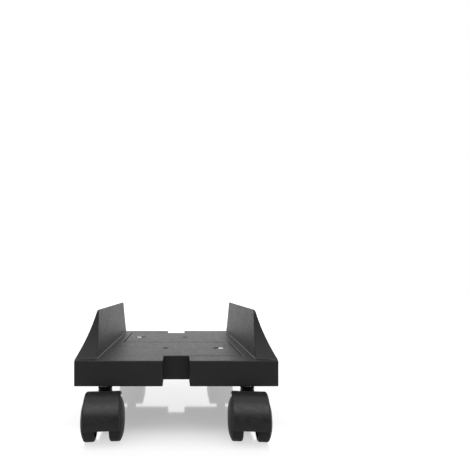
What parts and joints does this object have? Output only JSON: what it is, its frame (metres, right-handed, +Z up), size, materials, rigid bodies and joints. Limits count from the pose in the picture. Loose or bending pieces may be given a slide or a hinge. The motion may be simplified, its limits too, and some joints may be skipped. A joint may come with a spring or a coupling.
{
  "type": "computer tower stand",
  "caption": "Low rolling floor stand for a desktop computer tower: a tray with raised side walls that slides wider, on twin-wheel swivel casters.",
  "frame": {"origin": "on the floor, under the middle of the stand at its narrowest setting", "axes": "+X to the right across the stand, along the width slide; +Y to the rear, the long way of the tower; +Z up"},
  "size_m": [0.219, 0.3314, 0.1339],
  "materials": {
    "tray": "black moulded plastic with a fine matt texture",
    "caster": "black nylon housing with a satin sheen",
    "wheel": "black hard nylon wheel, satin",
    "zinc": "bright zinc-plated steel"
  },
  "bodies": {
    "left_tray": {"left_tray": "tray", "left_lock_screw": "zinc", "left_wing_nut": "caster", "front_left_grip_ring": "zinc", "rear_left_grip_ring": "zinc"},
    "right_tray": {"right_tray": "tray", "right_lock_screw": "zinc", "right_wing_nut": "caster", "front_right_grip_ring": "zinc", "rear_right_grip_ring": "zinc"},
    "front_left_caster": {"front_left_housing": "caster", "front_left_stem": "zinc", "front_left_axle": "zinc"},
    "front_left_wheel_left": {"front_left_wheel_left": "wheel"},
    "front_left_wheel_right": {"front_left_wheel_right": "wheel"},
    "front_right_caster": {"front_right_housing": "caster", "front_right_stem": "zinc", "front_right_axle": "zinc"},
    "front_right_wheel_left": {"front_right_wheel_left": "wheel"},
    "front_right_wheel_right": {"front_right_wheel_right": "wheel"},
    "rear_left_caster": {"rear_left_housing": "caster", "rear_left_stem": "zinc", "rear_left_axle": "zinc"},
    "rear_left_wheel_left": {"rear_left_wheel_left": "wheel"},
    "rear_left_wheel_right": {"rear_left_wheel_right": "wheel"},
    "rear_right_caster": {"rear_right_housing": "caster", "rear_right_stem": "zinc", "rear_right_axle": "zinc"},
    "rear_right_wheel_left": {"rear_right_wheel_left": "wheel"},
    "rear_right_wheel_right": {"rear_right_wheel_right": "wheel"}
  },
  "joints": [
    {"name": "width_slide", "type": "slide", "parent": "left_tray", "child": "right_tray", "axis": [1, 0, 0], "range_m": [0, 0.04]},
    {"name": "front_left_swivel", "type": "hinge", "parent": "left_tray", "child": "front_left_caster", "pos_m": [-0.0783, -0.1174, 0.05], "axis": [0, 0, 1], "continuous": true},
    {"name": "front_left_wheel_left_spin", "type": "hinge", "parent": "front_left_caster", "child": "front_left_wheel_left", "pos_m": [-0.07657, -0.13722, 0.0224], "axis": [0.9962, 0.0872, 0], "continuous": true},
    {"name": "front_left_wheel_right_spin", "type": "hinge", "parent": "front_left_caster", "child": "front_left_wheel_right", "pos_m": [-0.07657, -0.13722, 0.0224], "axis": [0.9962, 0.0872, 0], "continuous": true},
    {"name": "front_right_swivel", "type": "hinge", "parent": "right_tray", "child": "front_right_caster", "pos_m": [0.0783, -0.1174, 0.05], "axis": [0, 0, 1], "continuous": true},
    {"name": "front_right_wheel_left_spin", "type": "hinge", "parent": "front_right_caster", "child": "front_right_wheel_left", "pos_m": [0.07657, -0.13722, 0.0224], "axis": [0.9962, -0.0872, 0], "continuous": true},
    {"name": "front_right_wheel_right_spin", "type": "hinge", "parent": "front_right_caster", "child": "front_right_wheel_right", "pos_m": [0.07657, -0.13722, 0.0224], "axis": [0.9962, -0.0872, 0], "continuous": true},
    {"name": "rear_left_swivel", "type": "hinge", "parent": "left_tray", "child": "rear_left_caster", "pos_m": [-0.0783, 0.1174, 0.05], "axis": [0, 0, 1], "continuous": true},
    {"name": "rear_left_wheel_left_spin", "type": "hinge", "parent": "rear_left_caster", "child": "rear_left_wheel_left", "pos_m": [-0.0783, 0.1373, 0.0224], "axis": [1, 0, 0], "continuous": true},
    {"name": "rear_left_wheel_right_spin", "type": "hinge", "parent": "rear_left_caster", "child": "rear_left_wheel_right", "pos_m": [-0.0783, 0.1373, 0.0224], "axis": [1, 0, 0], "continuous": true},
    {"name": "rear_right_swivel", "type": "hinge", "parent": "right_tray", "child": "rear_right_caster", "pos_m": [0.0783, 0.1174, 0.05], "axis": [0, 0, 1], "continuous": true},
    {"name": "rear_right_wheel_left_spin", "type": "hinge", "parent": "rear_right_caster", "child": "rear_right_wheel_left", "pos_m": [0.0783, 0.1373, 0.0224], "axis": [1, 0, 0], "continuous": true},
    {"name": "rear_right_wheel_right_spin", "type": "hinge", "parent": "rear_right_caster", "child": "rear_right_wheel_right", "pos_m": [0.0783, 0.1373, 0.0224], "axis": [1, 0, 0], "continuous": true}
  ]
}
